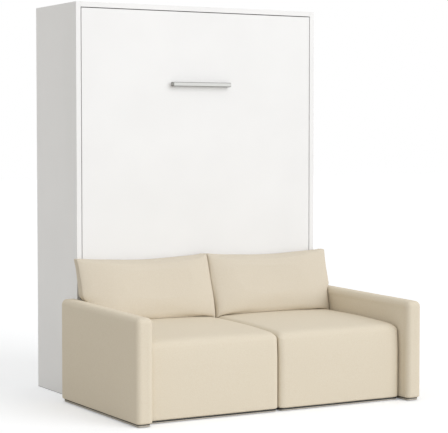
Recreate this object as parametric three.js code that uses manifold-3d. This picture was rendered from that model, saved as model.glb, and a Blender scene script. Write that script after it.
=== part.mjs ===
// Vertical wall bed with a two-seat sofa in front of it.
// Millimetres, +Z up, +Y towards the wall. While the pieces are made, y = 0 is the front face of the
// cabinet and of its door, and x = 0 is the middle. The last lines centre the whole on its footprint.
import * as THREE from 'three';
import { mergeVertices } from 'three/addons/utils/BufferGeometryUtils.js';
import Module from 'manifold-3d';

const wasm = await Module();
wasm.setup();

// Cabinet sizes
const cabinetWidth = 1520;
const cabinetDepth = 550;
const cabinetHeight = 2160;
const sidePanelThickness = 28;
const topPanelThickness = 28;
const floorPanelThickness = 18;
const plinthThickness = 18;
const plinthHeight = 170;
const backPanelThickness = 4;
const backRailThickness = 18;
const backRailHeight = 110;

// Door and handle sizes
const doorThickness = 22;
const doorGap = 4;
const doorAbovePlinth = 10;
const doorEdgeRounding = 1;
const handleLength = 364;
const handleHeight = 24;
const handleProjection = 36;
const handleBarThickness = 10;
const handlePostThickness = 14;
const handleBelowDoorTop = 404;
const handleEdgeRounding = 3;

// Folding bed sizes
const pivotDepth = 60;
const pivotHeight = 510;
const bedFrameDepth = 40;
const bedFrameTubeWidth = 24;
const bedFrameTubeThickness = 2;
const bedFrameHeadMargin = 15;
const bedFrameFootMargin = 23;
const slatCount = 10;
const slatWidth = 78;
const slatThickness = 8;
const slatCamber = 8;
const slatSteps = 12;
const slatStripWidth = 20;
const slatStripDepth = 18;
const slatPocketDepth = 14;
const slatPocketPlay = 0.6;
const mattressThickness = 180;
const mattressRounding = 28;
const mattressCrown = 5;
const mattressHeadMargin = 10;
const mattressFootMargin = 38;
const mattressSideMargin = 2;

// Pivot and gas strut sizes
const bedPlateThickness = 4;
const bedPlateReach = 36;
const bedPlateTop = 70;
const bedPlateTail = 32;
const bedPlateCorner = 18;
const pivotPinRadius = 8;
const bushRadius = 13;
const bushFlangeRadius = 18;
const cabinetPlateThickness = 3;
const pivotPlateFront = 36;
const pivotPlateBack = 60;
const pivotPlateHalfHeight = 60;
const plateCorner = 14;
const strutAnchorBehindPivot = 140;
const strutAnchorAbovePivot = 315;
const strutStudBehindPivot = 10;
const strutStudBelowPivot = 140;
const strutStudRadius = 6;
const strutRadius = 9;
const strutOuterGap = 2;
const strutInnerGap = 5;
const strutBarrelLength = 262;
const strutBarrelStart = 6;
const strutBoreRadius = 7.6;
const strutBoreStart = 22;
const strutGland = 20;
const strutRodRadius = 4;
const strutPistonRadius = 7.2;
const strutPistonLength = 12;
const strutPistonRest = 2;
const strutEyeRadius = 8;
const strutEyeWidth = 9.4;
const strutPinRadius = 4;
const strutBracketHalf = 26;

// Folding foot arch sizes
const archPivotBehindFrame = 24;
const archPivotBelowFrameEnd = 15;
const archCrank = 53;
const archHalfWidth = 11;
const archLegThickness = 8;
const archSideGap = 4;
const archTubeRadius = 13;
const archTubeThickness = 2;
const archFootRadius = 17;
const archFootLength = 50;
const archFootInset = 110;
const archPinRadius = 6;
const archPlateReach = 22;
const archPlateHalfHeight = 32;

// Sofa sizes
const armPastCabinet = 8;
const armWidth = 93;
const armFront = 933;
const armTop = 548;
const armSlope = 8;
const armRounding = 28;
const armCrown = 3;
const seatFront = 870;
const seatTop = 431;
const seatFrontDrop = 28;
const seatCrown = 12;
const seatRounding = 30;
const seatFrontBulge = 6;
const seatFrontLean = 8;
const seatFlatDepth = 245;
const seatCrownRise = 140;
const sofaLift = 14;
const sofaBoardThickness = 6;
const sofaBoardInset = 34;
const sofaFootRadius = 20;
const armFootRadius = 12;
const sofaFootInset = 70;
const cushionSideRoom = 3;
const cushionHeight = 345;
const cushionBottomDepth = 156;
const cushionTopDepth = 98;
const cushionBottomBack = 84;
const cushionTopBack = 8;
const cushionTopDip = 14;
const cushionSideDip = 5;
const cushionRounding = 24;

// Small clearances and steps
const seatedGap = 0.3;
const softGap = 0.5;
const cutOverrun = 2;
const roundSteps = 28;
const pinSteps = 20;
const cornerSteps = 2;
const weldDistance = 0.001;

// Places that follow from the sizes
const cabinetHalf = cabinetWidth / 2;
const cabinetInner = cabinetHalf - sidePanelThickness;
const topUnderside = cabinetHeight - topPanelThickness;
const backPanelBack = cabinetDepth - backRailThickness;
const backPanelFront = backPanelBack - backPanelThickness;
const doorHalf = cabinetInner - doorGap;
const doorBottom = plinthHeight + doorAbovePlinth;
const doorTop = topUnderside - doorGap;
const handleCentreHeight = doorTop - handleBelowDoorTop;
const cabinetPlateFace = cabinetInner - cabinetPlateThickness;
const strutPlane = cabinetPlateFace - strutOuterGap - strutRadius;
const bedPlateFace = strutPlane - strutRadius - strutInnerGap;
const bedFrameHalfWidth = bedPlateFace - bedPlateThickness;
const frameBack = doorThickness + bedFrameDepth;
const frameHead = doorBottom + bedFrameHeadMargin;
const frameFoot = doorTop - bedFrameFootMargin;
const frameInner = bedFrameHalfWidth - bedFrameTubeWidth;
const mattressWidth = 2 * (bedFrameHalfWidth - mattressSideMargin);
const mattressHead = doorBottom + mattressHeadMargin;
const mattressLength = doorTop - mattressFootMargin - mattressHead;
const mattressBack = frameBack + seatedGap + mattressThickness;
const strutAnchorDepth = pivotDepth + strutAnchorBehindPivot;
const strutAnchorHeight = pivotHeight + strutAnchorAbovePivot;
const strutStudDepth = pivotDepth + strutStudBehindPivot;
const strutStudHeight = pivotHeight - strutStudBelowPivot;
const archPivotDepth = frameBack + archPivotBehindFrame;
const archPivotHeight = frameFoot - archPivotBelowFrameEnd;
const archInner = bedPlateFace + archSideGap;
const archOuter = archInner + archLegThickness;
const armInner = cabinetHalf + armPastCabinet;
const armOuter = armInner + armWidth;
const cushionWidth = armInner - cushionSideRoom;
const sides = [['left', -1], ['right', 1]];

// Finishes
const finish = (color, roughness, metalness) => new THREE.MeshStandardMaterial({ color, roughness, metalness });
const whiteBoard = finish(0xf1f1ef, 0.5, 0);
const beigeFabric = finish(0xdfd3be, 0.95, 0);
const mattressFabric = finish(0xeeede8, 0.95, 0);
const birchWood = finish(0xd8bd92, 0.6, 0);
const greySteel = finish(0x8f9092, 0.45, 0.8);
const darkStrut = finish(0x2b2c2e, 0.4, 0.5);
const polishedRod = finish(0xd5d6d8, 0.15, 1);
const handleMetal = finish(0xdcdcd8, 0.35, 0.8);
const blackPlastic = finish(0x2a2928, 0.6, 0);

// Groups that hold the pieces of each part of the furniture
const wallBed = new THREE.Group();
const cabinet = new THREE.Group();
const sofa = new THREE.Group();
const bed = new THREE.Group();
const footArch = new THREE.Group();
const struts = new THREE.Group();
wallBed.add(cabinet, sofa, bed, footArch, struts);

function addPiece(group, name, geometry, material) {
  const mesh = new THREE.Mesh(geometry, material);
  mesh.name = name;
  group.add(mesh);
  return mesh;
}

// Solids that are cut or joined
function solidOf(geometry) {
  const bare = geometry.clone();
  bare.deleteAttribute('normal');
  bare.deleteAttribute('uv');
  const welded = mergeVertices(bare);
  const vertProperties = Float32Array.from(welded.attributes.position.array);
  const triVerts = Uint32Array.from(welded.index.array);
  return new wasm.Manifold(new wasm.Mesh({ numProp: 3, vertProperties, triVerts }));
}

function geometryOf(solid) {
  const mesh = solid.getMesh();
  const geometry = new THREE.BufferGeometry();
  geometry.setAttribute('position', new THREE.BufferAttribute(mesh.vertProperties, 3));
  geometry.setIndex(new THREE.BufferAttribute(mesh.triVerts, 1));
  geometry.computeVertexNormals();
  return geometry;
}

function joined(geometries) {
  return geometryOf(geometries.map(solidOf).reduce((whole, piece) => whole.add(piece)));
}

function cutFrom(geometry, cutters) {
  return geometryOf(cutters.map(solidOf).reduce((rest, cutter) => rest.subtract(cutter), solidOf(geometry)));
}

// A board between two values on each axis
function board(x, y, z) {
  const geometry = new THREE.BoxGeometry(x[1] - x[0], y[1] - y[0], z[1] - z[0]);
  geometry.translate((x[0] + x[1]) / 2, (y[0] + y[1]) / 2, (z[0] + z[1]) / 2);
  return geometry;
}

// The x range of a piece that lies between two distances from the middle, on the left or the right
function acrossOn(side, near, far) {
  return side < 0 ? [-far, -near] : [near, far];
}

// Points of an arc, from one angle to another
function arc(u, v, radius, from, to) {
  const steps = Math.ceil(Math.abs(to - from) / (2 * Math.PI) * pinSteps);
  return Array.from({ length: steps + 1 }, (unused, i) => {
    const angle = THREE.MathUtils.lerp(from, to, i / steps);
    return new THREE.Vector2(u + radius * Math.cos(angle), v + radius * Math.sin(angle));
  });
}

// A counter-clockwise outline through points, without the ones that repeat where an arc meets a line
function outlineOf(points) {
  const kept = points.filter((point, i) => point.distanceTo(points[(i + 1) % points.length]) > weldDistance);
  return new THREE.Shape(THREE.ShapeUtils.isClockWise(kept) ? kept.reverse() : kept);
}

// An outline drawn in y and z, as thick as its x range
function plate(outline, x) {
  const geometry = new THREE.ExtrudeGeometry(outline, { depth: x[1] - x[0], bevelEnabled: false });
  const turn = new THREE.Matrix4().makeBasis(
    new THREE.Vector3(0, 1, 0), new THREE.Vector3(0, 0, 1), new THREE.Vector3(1, 0, 0));
  geometry.applyMatrix4(turn);
  geometry.translate(x[0], 0, 0);
  return geometry;
}

function roundedOutline(u0, u1, v0, v1, corner) {
  const quarter = Math.PI / 2;
  return outlineOf([
    ...arc(u1 - corner, v0 + corner, corner, -quarter, 0),
    ...arc(u1 - corner, v1 - corner, corner, 0, quarter),
    ...arc(u0 + corner, v1 - corner, corner, quarter, 2 * quarter),
    ...arc(u0 + corner, v0 + corner, corner, 2 * quarter, 3 * quarter)]);
}

function circleHole(outline, u, v, radius) {
  outline.holes.push(new THREE.Path(outlineOf(arc(u, v, radius, 0, 2 * Math.PI)).getPoints().reverse()));
  return outline;
}

// A round bar along x
function crossPin(radius, x, y, z, steps = pinSteps) {
  const geometry = new THREE.CylinderGeometry(radius, radius, x[1] - x[0], steps);
  geometry.rotateZ(Math.PI / 2);
  geometry.translate((x[0] + x[1]) / 2, y, z);
  return geometry;
}

// A tube or ring along x
function crossTube(outer, inner, x, y, z) {
  const section = outlineOf(arc(y, z, outer, 0, 2 * Math.PI));
  return plate(circleHole(section, y, z, inner), x);
}

// A rectangular steel tube's section, with its bore
function tubeSection(u0, u1, v0, v1) {
  const section = new THREE.Shape();
  section.moveTo(u0, v0);
  section.lineTo(u1, v0);
  section.lineTo(u1, v1);
  section.lineTo(u0, v1);
  const bore = new THREE.Path();
  bore.moveTo(u0 + bedFrameTubeThickness, v0 + bedFrameTubeThickness);
  bore.lineTo(u0 + bedFrameTubeThickness, v1 - bedFrameTubeThickness);
  bore.lineTo(u1 - bedFrameTubeThickness, v1 - bedFrameTubeThickness);
  bore.lineTo(u1 - bedFrameTubeThickness, v0 + bedFrameTubeThickness);
  section.holes.push(bore);
  return section;
}

// Where the rows of vertices lie along one edge of a soft block: close together round its corners
function stations(half, rounding, innerSteps) {
  const flat = half - rounding;
  const rows = [];
  for (let i = cornerSteps; i > 0; i--) {
    rows.push(-flat - rounding * Math.tan(Math.PI / 4 * i / cornerSteps));
  }
  for (let i = 0; i <= innerSteps; i++) {
    rows.push(flat * (2 * i / innerSteps - 1));
  }
  for (let i = 1; i <= cornerSteps; i++) {
    rows.push(flat + rounding * Math.tan(Math.PI / 4 * i / cornerSteps));
  }
  return rows;
}

// An upholstered block with rounded edges, whose form function then swells or draws in each point
function softBlock(size, rounding, innerSteps, form) {
  const halves = size.map((length) => length / 2);
  const rows = halves.map((half, axis) => stations(half, rounding, innerSteps[axis]));
  const steps = rows.map((row) => row.length - 1);
  const geometry = new THREE.BoxGeometry(1, 1, 1, ...steps);
  const points = geometry.attributes.position;
  const core = new THREE.Vector3();
  const point = new THREE.Vector3();
  const low = new THREE.Vector3(...halves).subScalar(rounding).negate();
  const high = low.clone().negate();
  for (let i = 0; i < points.count; i++) {
    point.fromBufferAttribute(points, i);
    point.fromArray(point.toArray().map((value, axis) => rows[axis][Math.round((value + 0.5) * steps[axis])]));
    core.copy(point).clamp(low, high);
    point.sub(core).setLength(rounding).add(core);
    form(point);
    points.setXYZ(i, point.x, point.y, point.z);
  }
  geometry.deleteAttribute('normal');
  geometry.deleteAttribute('uv');
  const welded = mergeVertices(geometry);
  welded.computeVertexNormals();
  return welded;
}

const dome = (share) => 1 - share * share;
const eased = (share) => THREE.MathUtils.smoothstep(share, 0, 1);

// Cabinet: the boards that stand against the wall
const acrossInside = [-cabinetInner, cabinetInner];
const acrossBack = [-cabinetInner + seatedGap, cabinetInner - seatedGap];
for (const [word, side] of sides) {
  const across = acrossOn(side, cabinetInner, cabinetHalf);
  addPiece(cabinet, `side_panel_${word}`, board(across, [0, cabinetDepth], [0, cabinetHeight]), whiteBoard);
}
addPiece(cabinet, 'top_panel', board(acrossInside, [0, cabinetDepth], [topUnderside, cabinetHeight]), whiteBoard);
addPiece(cabinet, 'plinth_panel', board(acrossInside, [0, plinthThickness], [0, plinthHeight]), whiteBoard);
addPiece(cabinet, 'floor_panel',
  board(acrossInside, [plinthThickness, backPanelFront], [0, floorPanelThickness]), whiteBoard);
addPiece(cabinet, 'back_panel',
  board(acrossBack, [backPanelFront, backPanelBack], [0, topUnderside - backRailHeight]), whiteBoard);
addPiece(cabinet, 'back_rail_top',
  board(acrossInside, [backPanelBack, cabinetDepth], [topUnderside - backRailHeight, topUnderside]), whiteBoard);
addPiece(cabinet, 'back_rail_bottom',
  board(acrossInside, [backPanelBack, cabinetDepth], [0, backRailHeight]), whiteBoard);

// Wall brackets: steel angles under the top panel, screwed through the top back rail into the wall
const bracketLeaf = 46;
const bracketSteel = 3;
const bracketWidth = 60;
const bracketFromSide = 192;
function bracketOutline() {
  const outline = new THREE.Shape();
  outline.moveTo(backPanelBack - bracketLeaf, topUnderside);
  outline.lineTo(backPanelBack - bracketLeaf, topUnderside - bracketSteel);
  outline.lineTo(backPanelBack - bracketSteel, topUnderside - bracketSteel);
  outline.lineTo(backPanelBack - bracketSteel, topUnderside - bracketLeaf);
  outline.lineTo(backPanelBack, topUnderside - bracketLeaf);
  outline.lineTo(backPanelBack, topUnderside);
  return outline;
}
for (const [word, side] of sides) {
  const far = cabinetInner - bracketFromSide;
  const across = acrossOn(side, far - bracketWidth, far);
  addPiece(cabinet, `wall_bracket_${word}`, plate(bracketOutline(), across), greySteel);
}

// Pivot plates: each carries the pin that the bed turns on
for (const [word, side] of sides) {
  const outline = roundedOutline(pivotDepth - pivotPlateFront, pivotDepth + pivotPlateBack,
    pivotHeight - pivotPlateHalfHeight, pivotHeight + pivotPlateHalfHeight, plateCorner);
  const steel = plate(outline, acrossOn(side, cabinetPlateFace, cabinetInner));
  const pinX = acrossOn(side, bedFrameHalfWidth + seatedGap, cabinetPlateFace + cabinetPlateThickness / 2);
  const pin = crossPin(pivotPinRadius, pinX, pivotDepth, pivotHeight);
  addPiece(cabinet, `pivot_plate_${word}`, joined([steel, pin]), greySteel);
}

// Strut brackets: a small plate with the pin that the gas strut's eye hangs on
const strutEyeInner = strutPlane - strutEyeWidth / 2;
const strutEyeOuter = strutPlane + strutEyeWidth / 2;
for (const [word, side] of sides) {
  const outline = roundedOutline(strutAnchorDepth - strutBracketHalf, strutAnchorDepth + strutBracketHalf,
    strutAnchorHeight - strutBracketHalf, strutAnchorHeight + strutBracketHalf, plateCorner);
  const steel = plate(outline, acrossOn(side, cabinetPlateFace, cabinetInner));
  const pinX = acrossOn(side, strutEyeInner, cabinetPlateFace + cabinetPlateThickness / 2);
  const pin = crossPin(strutPinRadius, pinX, strutAnchorDepth, strutAnchorHeight);
  addPiece(cabinet, `strut_bracket_${word}`, joined([steel, pin]), greySteel);
}

// Door: the underside of the bed, which closes the cabinet, with a bent handle that leaves room for fingers
function doorGeometry() {
  const outline = new THREE.Shape();
  const inset = doorEdgeRounding;
  outline.moveTo(-doorHalf + inset, doorBottom + inset);
  outline.lineTo(doorHalf - inset, doorBottom + inset);
  outline.lineTo(doorHalf - inset, doorTop - inset);
  outline.lineTo(-doorHalf + inset, doorTop - inset);
  const geometry = new THREE.ExtrudeGeometry(outline, {
    depth: doorThickness - 2 * inset, bevelThickness: inset, bevelSize: inset, bevelSegments: 1 });
  geometry.rotateX(Math.PI / 2);
  geometry.translate(0, doorThickness - inset, 0);
  return geometry;
}
addPiece(bed, 'door_panel', doorGeometry(), whiteBoard);

function handleGeometry() {
  const inset = handleEdgeRounding;
  const half = handleLength / 2 - inset;
  const postInner = handleLength / 2 - handlePostThickness + inset;
  const front = -handleProjection + inset;
  const barBack = -handleProjection + handleBarThickness - inset;
  const outline = new THREE.Shape();
  outline.moveTo(-half, front);
  outline.lineTo(half, front);
  outline.lineTo(half, -inset);
  outline.lineTo(postInner, -inset);
  outline.lineTo(postInner, barBack);
  outline.lineTo(-postInner, barBack);
  outline.lineTo(-postInner, -inset);
  outline.lineTo(-half, -inset);
  const geometry = new THREE.ExtrudeGeometry(outline, {
    depth: handleHeight - 2 * inset, bevelThickness: inset, bevelSize: inset, bevelSegments: cornerSteps });
  geometry.translate(0, 0, handleCentreHeight - handleHeight / 2 + inset);
  return geometry;
}
addPiece(bed, 'handle', handleGeometry(), handleMetal);

// Bed frame: four steel tubes behind the door
for (const [word, side] of sides) {
  const x = acrossOn(side, frameInner, bedFrameHalfWidth);
  const rail = new THREE.ExtrudeGeometry(tubeSection(x[0], x[1], doorThickness, frameBack), {
    depth: frameFoot - frameHead, bevelEnabled: false });
  rail.translate(0, 0, frameHead);
  addPiece(bed, `bed_rail_${word}`, rail, greySteel);
}
const acrossFrame = [-frameInner + seatedGap, frameInner - seatedGap];
const endRails = [['head', frameHead], ['foot', frameFoot - bedFrameTubeWidth]];
for (const [word, low] of endRails) {
  const section = tubeSection(doorThickness, frameBack, low, low + bedFrameTubeWidth);
  addPiece(bed, `bed_rail_${word}`, plate(section, acrossFrame), greySteel);
}

// Sprung slats: bowed strips of wood whose ends sit in the pockets of a strip along each side rail
const slatBack = frameBack - seatedGap;
const slatEndBack = slatBack - slatCamber;
const slatEndFront = slatEndBack - slatThickness;
const stripInner = frameInner - slatStripWidth;
const slatHalf = stripInner + slatPocketDepth - slatPocketPlay;
const stripLow = frameHead + bedFrameTubeWidth + seatedGap;
const stripHigh = frameFoot - bedFrameTubeWidth - seatedGap;
const slatPitch = (stripHigh - stripLow) / slatCount;
const slatMiddles = Array.from({ length: slatCount }, (unused, i) => stripLow + slatPitch * (i + 1 / 2));

function slatOutline() {
  const front = [];
  const back = [];
  for (let i = 0; i <= slatSteps; i++) {
    const share = 2 * i / slatSteps - 1;
    const bow = slatCamber * dome(share);
    front.push(new THREE.Vector2(slatHalf * share, slatEndFront + bow));
    back.push(new THREE.Vector2(slatHalf * share, slatEndBack + bow));
  }
  return new THREE.Shape([...front, ...back.reverse()]);
}

for (const [word, side] of sides) {
  const middle = (slatEndFront + slatEndBack) / 2;
  const body = board(acrossOn(side, stripInner, frameInner - seatedGap),
    [middle - slatStripDepth / 2, middle + slatStripDepth / 2], [stripLow, stripHigh]);
  const pocketX = acrossOn(side, stripInner - cutOverrun, stripInner + slatPocketDepth);
  const pocketY = [slatEndFront - slatPocketPlay, slatEndBack + slatPocketPlay];
  const pockets = slatMiddles.map((z) => board(pocketX, pocketY,
    [z - slatWidth / 2 - slatPocketPlay, z + slatWidth / 2 + slatPocketPlay]));
  addPiece(bed, `slat_strip_${word}`, cutFrom(body, pockets), blackPlastic);
}

slatMiddles.forEach((z, i) => {
  const slat = new THREE.ExtrudeGeometry(slatOutline(), { depth: slatWidth, bevelEnabled: false });
  slat.translate(0, 0, z - slatWidth / 2);
  addPiece(bed, `slat_${String(i + 1).padStart(2, '0')}`, slat, birchWood);
});

// Bed plates: steel cheeks on the side rails, each bored for the pivot bush and with the strut's stud
for (const [word, side] of sides) {
  const outline = roundedOutline(doorThickness, pivotDepth + bedPlateReach,
    strutStudHeight - bedPlateTail, pivotHeight + bedPlateTop, bedPlateCorner);
  circleHole(outline, pivotDepth, pivotHeight, bushRadius + seatedGap);
  const steel = plate(outline, acrossOn(side, bedFrameHalfWidth, bedPlateFace));
  const studX = acrossOn(side, bedPlateFace - bedPlateThickness / 2, strutEyeInner - seatedGap);
  const stud = crossPin(strutStudRadius, studX, strutStudDepth, strutStudHeight);
  addPiece(bed, `bed_plate_${word}`, joined([steel, stud]), greySteel);
}

// Pivot bushes: flanged plastic sleeves that turn on the pins and space the bed off the cabinet sides
for (const [word, side] of sides) {
  const bore = pivotPinRadius + seatedGap;
  const inner = bedFrameHalfWidth + seatedGap;
  const shoulder = bedPlateFace + seatedGap;
  const outer = cabinetPlateFace - seatedGap;
  const profile = [[bore, inner], [bushRadius, inner], [bushRadius, shoulder],
    [bushFlangeRadius, shoulder], [bushFlangeRadius, outer], [bore, outer], [bore, inner]];
  const bush = new THREE.LatheGeometry(profile.map(([r, x]) => new THREE.Vector2(r, x)), roundSteps);
  bush.rotateZ(-side * Math.PI / 2);
  bush.translate(0, pivotDepth, pivotHeight);
  addPiece(bed, `pivot_bush_${word}`, bush, blackPlastic);
}

// Mattress: stands on its head end inside the closed cabinet
function mattressForm(point) {
  const across = point.x / (mattressWidth / 2);
  const along = point.z / (mattressLength / 2);
  const swell = mattressCrown * (dome(across) * dome(along) - 1);
  point.y += Math.sign(point.y) * swell;
}
const mattress = softBlock([mattressWidth, mattressThickness, mattressLength], mattressRounding, [6, 1, 8], mattressForm);
mattress.translate(0, mattressBack - mattressThickness / 2, mattressHead + mattressLength / 2);
addPiece(bed, 'mattress', mattress, mattressFabric);

// Foot arch: two cranked legs and a cross tube, which swing over the foot end as the bed comes down.
// Shut, the cross tube lies along the mattress. Down, it stands on the floor in front of the door's edge.
const archPivotWhenOpen = pivotHeight + archPivotDepth - pivotDepth;
const archLength = archPivotWhenOpen - archFootRadius;
const archStowedDepth = mattressBack + archFootRadius + seatedGap;
const archTilt = Math.asin((archStowedDepth - archPivotDepth) / Math.hypot(archLength, archCrank))
  + Math.atan2(archCrank, archLength);
const archElbow = new THREE.Vector2(archPivotDepth - archCrank * Math.cos(archTilt),
  archPivotHeight - archCrank * Math.sin(archTilt));
const archTube = new THREE.Vector2(archElbow.x + archLength * Math.sin(archTilt),
  archElbow.y - archLength * Math.cos(archTilt));

function archLegGeometry(side) {
  const half = archHalfWidth;
  const quarter = Math.PI / 2;
  const outline = outlineOf([
    ...arc(0, archCrank, half, 2 * quarter, 0),
    new THREE.Vector2(half, half),
    ...arc(archLength, 0, half, quarter, -quarter),
    ...arc(0, 0, half, -quarter, -2 * quarter)]);
  circleHole(outline, 0, archCrank, archPinRadius + seatedGap);
  const leg = plate(outline, acrossOn(side, archInner, archOuter));
  leg.rotateX(archTilt - quarter);
  leg.translate(0, archElbow.x, archElbow.y);
  return leg;
}

for (const [word, side] of sides) {
  addPiece(footArch, `arch_leg_${word}`, archLegGeometry(side), greySteel);
  const outline = roundedOutline(doorThickness, archPivotDepth + archPlateReach,
    archPivotHeight - archPlateHalfHeight, archPivotHeight + archPlateHalfHeight, plateCorner);
  const steel = plate(outline, acrossOn(side, bedFrameHalfWidth, bedPlateFace));
  const pinX = acrossOn(side, bedPlateFace - bedPlateThickness / 2, archOuter);
  const pin = crossPin(archPinRadius, pinX, archPivotDepth, archPivotHeight);
  addPiece(bed, `arch_plate_${word}`, joined([steel, pin]), greySteel);
}
const archAcross = [-archInner + seatedGap, archInner - seatedGap];
addPiece(footArch, 'arch_tube',
  crossTube(archTubeRadius, archTubeRadius - archTubeThickness, archAcross, archTube.x, archTube.y), greySteel);
for (const [word, side] of sides) {
  const x = acrossOn(side, archInner - archFootInset - archFootLength, archInner - archFootInset);
  addPiece(footArch, `arch_foot_${word}`,
    crossTube(archFootRadius, archTubeRadius + seatedGap, x, archTube.x, archTube.y), blackPlastic);
}

// Gas struts: a barrel that hangs on the cabinet and a rod with its piston, whose eye meets the bed's stud
const strutLength = Math.hypot(strutAnchorDepth - strutStudDepth, strutAnchorHeight - strutStudHeight);
const strutLean = Math.atan2(strutStudDepth - strutAnchorDepth, strutAnchorHeight - strutStudHeight);

// Turns a piece made along -Z from the origin to lie along the strut
function alongStrut(geometry, side) {
  geometry.rotateX(strutLean);
  geometry.translate(side * strutPlane, strutAnchorDepth, strutAnchorHeight);
  return geometry;
}

function lathedDown(profile) {
  const geometry = new THREE.LatheGeometry(profile.map(([r, s]) => new THREE.Vector2(r, s)), roundSteps);
  geometry.rotateX(-Math.PI / 2);
  return geometry;
}

function barrelGeometry() {
  const boreEnd = strutBarrelLength - strutGland;
  const rodHole = strutRodRadius + seatedGap;
  const body = lathedDown([[0, strutBarrelStart], [strutRadius, strutBarrelStart], [strutRadius, strutBarrelLength],
    [rodHole, strutBarrelLength], [rodHole, boreEnd], [strutBoreRadius, boreEnd],
    [strutBoreRadius, strutBoreStart], [0, strutBoreStart]]);
  const eye = crossPin(strutEyeRadius, [-strutEyeWidth / 2, strutEyeWidth / 2], 0, 0);
  const hole = crossPin(strutPinRadius + seatedGap, [-strutRadius - cutOverrun, strutRadius + cutOverrun], 0, 0);
  return cutFrom(joined([body, eye]), [hole]);
}

function rodGeometry() {
  const pistonEnd = strutBarrelLength - strutGland - strutPistonRest;
  const pistonStart = pistonEnd - strutPistonLength;
  const body = lathedDown([[0, pistonStart], [strutPistonRadius, pistonStart], [strutPistonRadius, pistonEnd],
    [strutRodRadius, pistonEnd], [strutRodRadius, strutLength], [0, strutLength]]);
  const eye = crossPin(strutEyeRadius, [-strutEyeWidth / 2, strutEyeWidth / 2], 0, -strutLength);
  return joined([body, eye]);
}

for (const [word, side] of sides) {
  addPiece(struts, `strut_barrel_${word}`, alongStrut(barrelGeometry(), side), darkStrut);
  addPiece(struts, `strut_rod_${word}`, alongStrut(rodGeometry(), side), polishedRod);
}

// Sofa arms: upholstered slabs beside the seats, a little higher at the back
function armForm(point) {
  const along = point.y / (armFront / 2);
  const height = point.z / (armTop - sofaLift) + 1 / 2;
  const across = point.x / ((armOuter - armInner) / 2);
  point.z += height * (armSlope * along + armCrown * dome(across));
}

// A dark board under each upholstered piece, with round feet that stand on the floor
function baseGeometry(x, y, footX, footRadius) {
  const boardX = [x[0] + sofaBoardInset, x[1] - sofaBoardInset];
  const boardY = [y[0] + sofaBoardInset, y[1] - sofaBoardInset];
  const pieces = [board(boardX, boardY, [sofaLift - sofaBoardThickness, sofaLift])];
  const footHeight = sofaLift - sofaBoardThickness / 2;
  for (const u of footX) {
    for (const v of [y[0] + sofaFootInset, y[1] - sofaFootInset]) {
      const foot = new THREE.CylinderGeometry(footRadius, footRadius, footHeight, pinSteps);
      foot.rotateX(Math.PI / 2);
      foot.translate(u, v, footHeight / 2);
      pieces.push(foot);
    }
  }
  return joined(pieces);
}

for (const [word, side] of sides) {
  const x = acrossOn(side, armInner, armOuter);
  const arm = softBlock([armOuter - armInner, armFront, armTop - sofaLift], armRounding, [2, 6, 4], armForm);
  arm.translate((x[0] + x[1]) / 2, -armFront / 2, (armTop + sofaLift) / 2);
  addPiece(sofa, `arm_${word}`, arm, beigeFabric);
  const base = baseGeometry(x, [-armFront, 0], [(x[0] + x[1]) / 2], armFootRadius);
  addPiece(sofa, `arm_base_${word}`, base, blackPlastic);
}

// Seats: upholstered blocks with a crown, level where the back cushion stands, whose top flows over the front edge
const seatDepth = seatFront - softGap;
const seatX = [softGap, armInner - softGap];
const seatHeight = seatTop - sofaLift;
const seatTopStartShare = 0.8;
const seatFrontStartShare = 0.85;
const seatLeanStartShare = 0.6;
const seatCrownLossShare = 0.6;
const seatFall = 2.4;
function seatForm(point) {
  const across = point.x / ((seatX[1] - seatX[0]) / 2);
  const up = point.z / seatHeight + 1 / 2;
  const fromBack = seatDepth / 2 - point.y;
  const high = eased((up - seatTopStartShare) / (1 - seatTopStartShare));
  const past = THREE.MathUtils.clamp((fromBack - seatFlatDepth) / (seatDepth - seatFlatDepth), 0, 1) ** seatFall;
  const full = eased((fromBack - seatFlatDepth) / seatCrownRise) * (1 - seatCrownLossShare * past);
  const lift = seatCrown * dome(across) * full - seatFrontDrop * past;
  const front = eased((fromBack / seatDepth - seatFrontStartShare) / (1 - seatFrontStartShare));
  const lean = eased((up - seatLeanStartShare) / (1 - seatLeanStartShare));
  const upright = dome(point.z / (seatHeight / 2));
  point.z += high * lift;
  point.y += front * (seatFrontBulge * (1 - dome(across) * upright) + seatFrontLean * lean);
}

for (const [word, side] of sides) {
  const x = acrossOn(side, seatX[0], seatX[1]);
  const seat = softBlock([x[1] - x[0], seatDepth, seatHeight], seatRounding, [6, 8, 3], seatForm);
  seat.translate((x[0] + x[1]) / 2, -softGap - seatDepth / 2, sofaLift + seatHeight / 2);
  addPiece(sofa, `seat_${word}`, seat, beigeFabric);
  const feetX = [x[0] + sofaFootInset, x[1] - sofaFootInset];
  const base = baseGeometry(x, [-seatFront, -softGap], feetX, sofaFootRadius);
  addPiece(sofa, `seat_base_${word}`, base, blackPlastic);
}

// Back cushions: wedges that stand on the seats and lean on the door, thinner towards their seams,
// with a top edge and sides that draw in between the corners
const cushionEdgeShare = 0.66;
const cushionTopEdgeShare = 0.7;
const cushionFullness = 2.6;
function cushionForm(point) {
  const across = THREE.MathUtils.clamp(point.x / (cushionWidth / 2), -1, 1);
  const up = point.z / cushionHeight + 1 / 2;
  const sideFill = 1 - (1 - cushionEdgeShare) * Math.abs(across) ** cushionFullness;
  const topFill = 1 - (1 - cushionTopEdgeShare) * Math.max(0, 2 * up - 1) ** cushionFullness;
  const depth = THREE.MathUtils.lerp(cushionBottomDepth, cushionTopDepth, up);
  const back = THREE.MathUtils.lerp(cushionBottomBack, cushionTopBack, up);
  const fill = point.y / (cushionBottomDepth / 2);
  point.y = -back - depth / 2 + fill * depth / 2 * sideFill * topFill;
  point.x -= Math.sign(point.x) * cushionSideDip * dome(2 * up - 1) * Math.abs(across) ** cushionFullness;
  point.z -= cushionTopDip * dome(across) * eased(up);
}

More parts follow.
